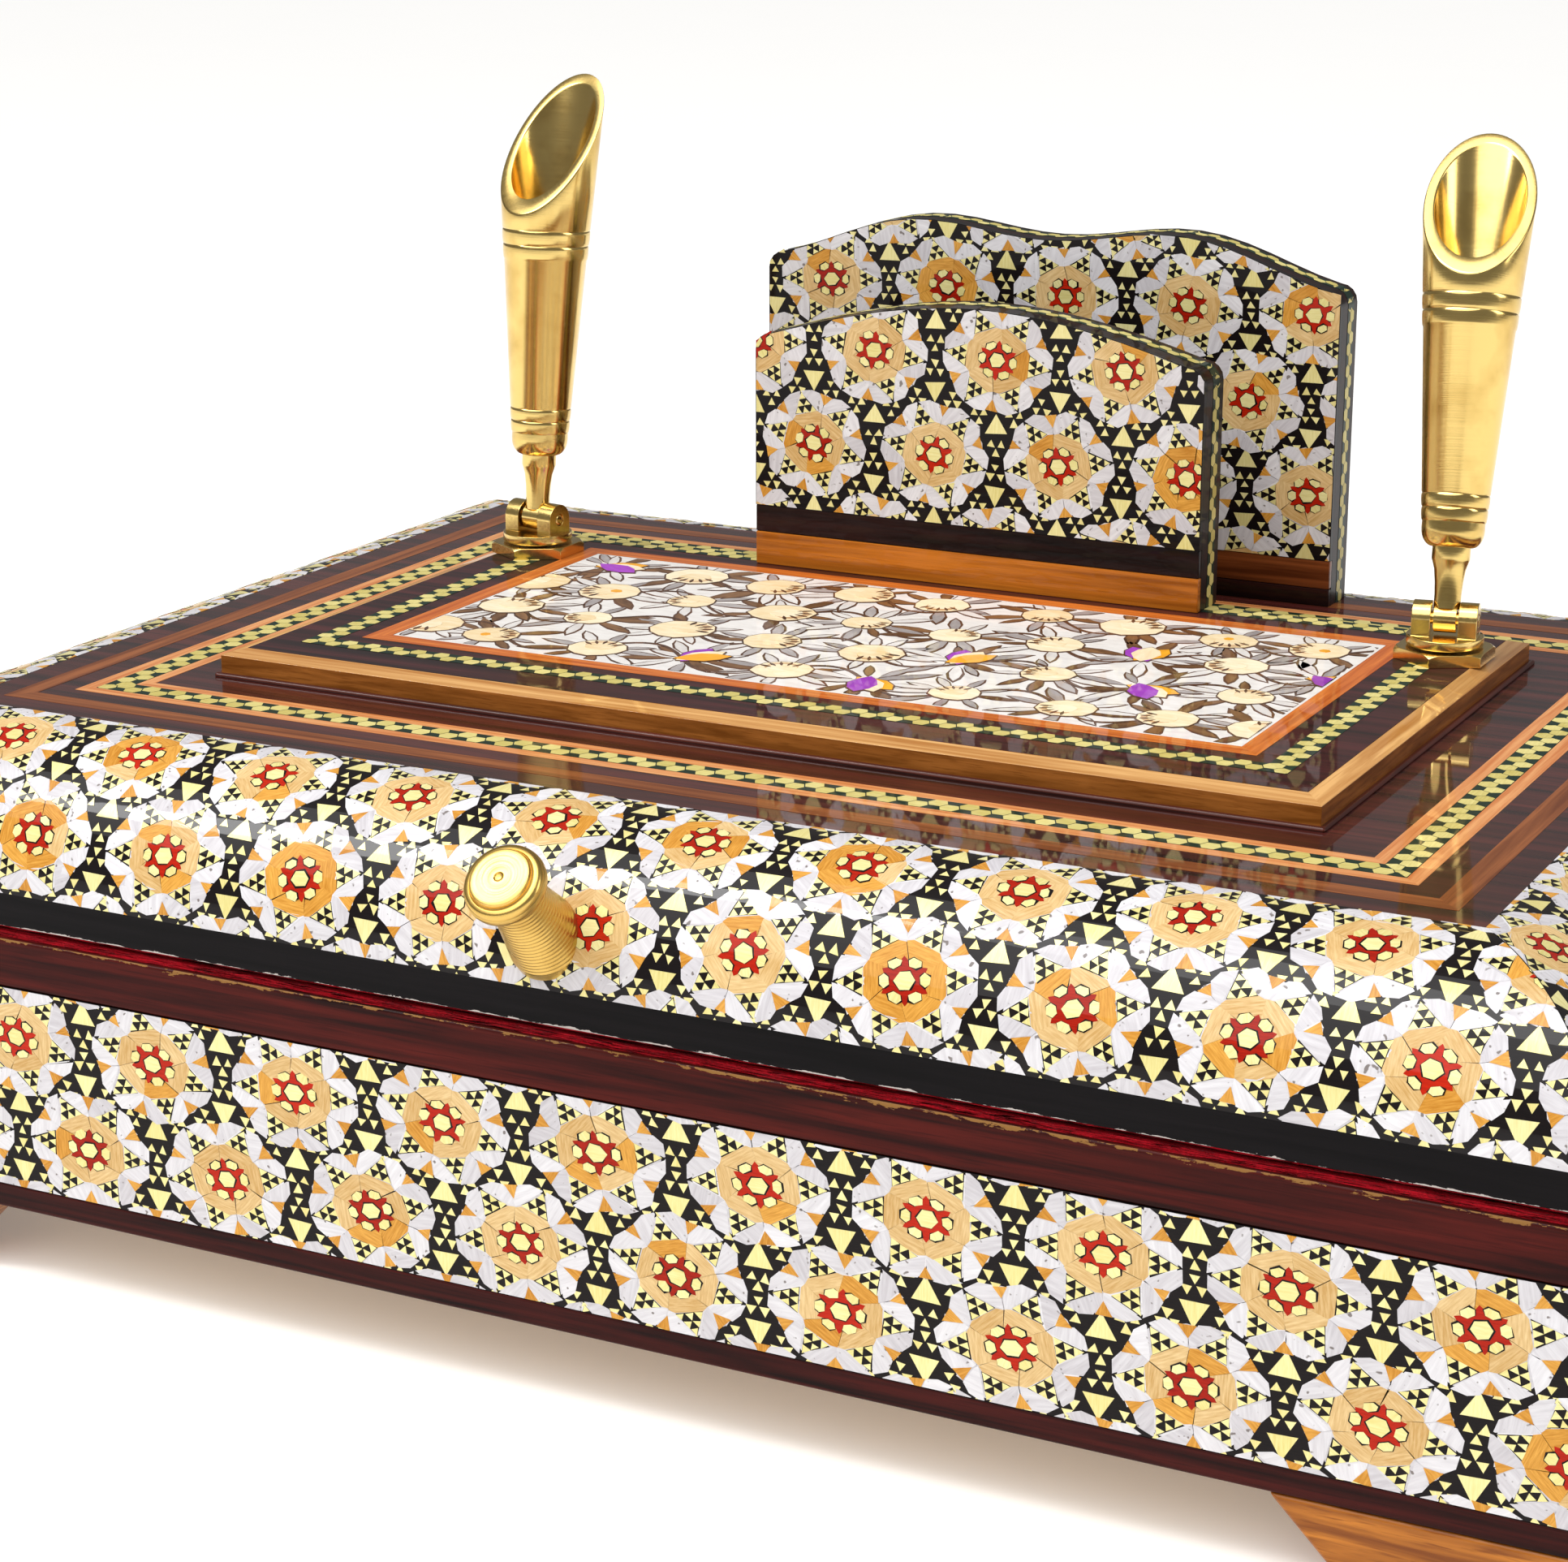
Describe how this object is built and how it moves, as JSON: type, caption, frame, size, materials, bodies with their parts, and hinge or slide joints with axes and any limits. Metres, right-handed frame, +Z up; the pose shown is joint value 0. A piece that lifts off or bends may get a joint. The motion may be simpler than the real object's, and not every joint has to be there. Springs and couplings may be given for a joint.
{
  "type": "inlaid pen box",
  "caption": "Rectangular mosaic-inlaid box on bracket feet; its hinged lid carries a painted panel, a letter rack and swivelling brass pen funnels.",
  "frame": {"origin": "middle of the footprint over all, on the table under the feet", "axes": "+Z up, +X to the right along the box's width, the knob on the front at -Y"},
  "size_m": [0.232, 0.181, 0.1381],
  "materials": {
    "khatam": "mosaic under gloss lacquer",
    "foot_wood": "lacquered",
    "velvet": "pile",
    "dark_strip": "gloss lacquer",
    "lacquered_top": "mirror lacquer",
    "edging_wood": "gloss lacquer",
    "painted_sheet": "painted, lacquered",
    "rack_wood": "gloss lacquer",
    "hinge_brass": "pressed",
    "brass": "turned, polished",
    "raw_wood": "bare"
  },
  "bodies": {
    "box": {"front_wall": "raw_wood", "right_wall": "raw_wood", "back_wall": "raw_wood", "left_wall": "raw_wood", "floor_board": "raw_wood", "foot_front_left": "foot_wood", "foot_front_right": "foot_wood", "foot_back_left": "foot_wood", "foot_back_right": "foot_wood", "box_front_khatam": "khatam", "box_right_khatam": "khatam", "box_back_khatam": "khatam", "box_left_khatam": "khatam", "box_lower_strips": "dark_strip", "box_upper_strips": "dark_strip", "floor_velvet": "velvet", "wall_velvet": "velvet", "rim_felt": "velvet", "left_hinge_box_leaf": "hinge_brass", "left_hinge_pin": "hinge_brass", "right_hinge_box_leaf": "hinge_brass", "right_hinge_pin": "hinge_brass", "hinge_box_screws": "hinge_brass"},
    "lid": {"lid_board": "lacquered_top", "lid_front_roll": "raw_wood", "lid_right_roll": "raw_wood", "lid_back_roll": "raw_wood", "lid_left_roll": "raw_wood", "lid_front_khatam": "khatam", "lid_right_khatam": "khatam", "lid_back_khatam": "khatam", "lid_left_khatam": "khatam", "lid_front_strip": "dark_strip", "lid_right_strip": "dark_strip", "lid_back_strip": "dark_strip", "lid_left_strip": "dark_strip", "lid_velvet": "velvet", "plinth_board": "lacquered_top", "plinth_edging": "edging_wood", "painted_panel": "painted_sheet", "rack_front_panel": "rack_wood", "rack_rear_panel": "rack_wood", "rack_front_khatam": "khatam", "rack_rear_khatam": "khatam", "rack_dowels": "raw_wood", "knob": "brass", "knob_stud": "brass", "left_hinge_lid_leaf": "hinge_brass", "right_hinge_lid_leaf": "hinge_brass", "hinge_lid_screws": "hinge_brass", "left_flange": "brass", "right_flange": "brass"},
    "left_turret": {"left_turret": "brass", "left_bolt": "brass", "left_cross_pin": "brass"},
    "left_funnel": {"left_funnel": "brass"},
    "right_turret": {"right_turret": "brass", "right_bolt": "brass", "right_cross_pin": "brass"},
    "right_funnel": {"right_funnel": "brass"}
  },
  "joints": [
    {"name": "lid_hinge", "type": "hinge", "parent": "box", "child": "lid", "pos_m": [0, 0.08895, 0.04535], "axis": [-1, 0, 0], "range_deg": [0, 100]},
    {"name": "left_swivel", "type": "hinge", "parent": "lid", "child": "left_turret", "pos_m": [-0.0685, 0.0295, 0.07325], "axis": [0, 0, 1], "range_deg": [-30, 30]},
    {"name": "left_tilt", "type": "hinge", "parent": "left_turret", "child": "left_funnel", "pos_m": [-0.0685, 0.0295, 0.0765], "axis": [-0.9877, 0.1564, 0], "range_deg": [-29.5, 25.5]},
    {"name": "right_swivel", "type": "hinge", "parent": "lid", "child": "right_turret", "pos_m": [0.0655, 0.0295, 0.07325], "axis": [0, 0, 1], "range_deg": [-30, 30]},
    {"name": "right_tilt", "type": "hinge", "parent": "right_turret", "child": "right_funnel", "pos_m": [0.0655, 0.0295, 0.0765], "axis": [-0.9848, -0.1736, 0], "range_deg": [-39, 16]}
  ]
}
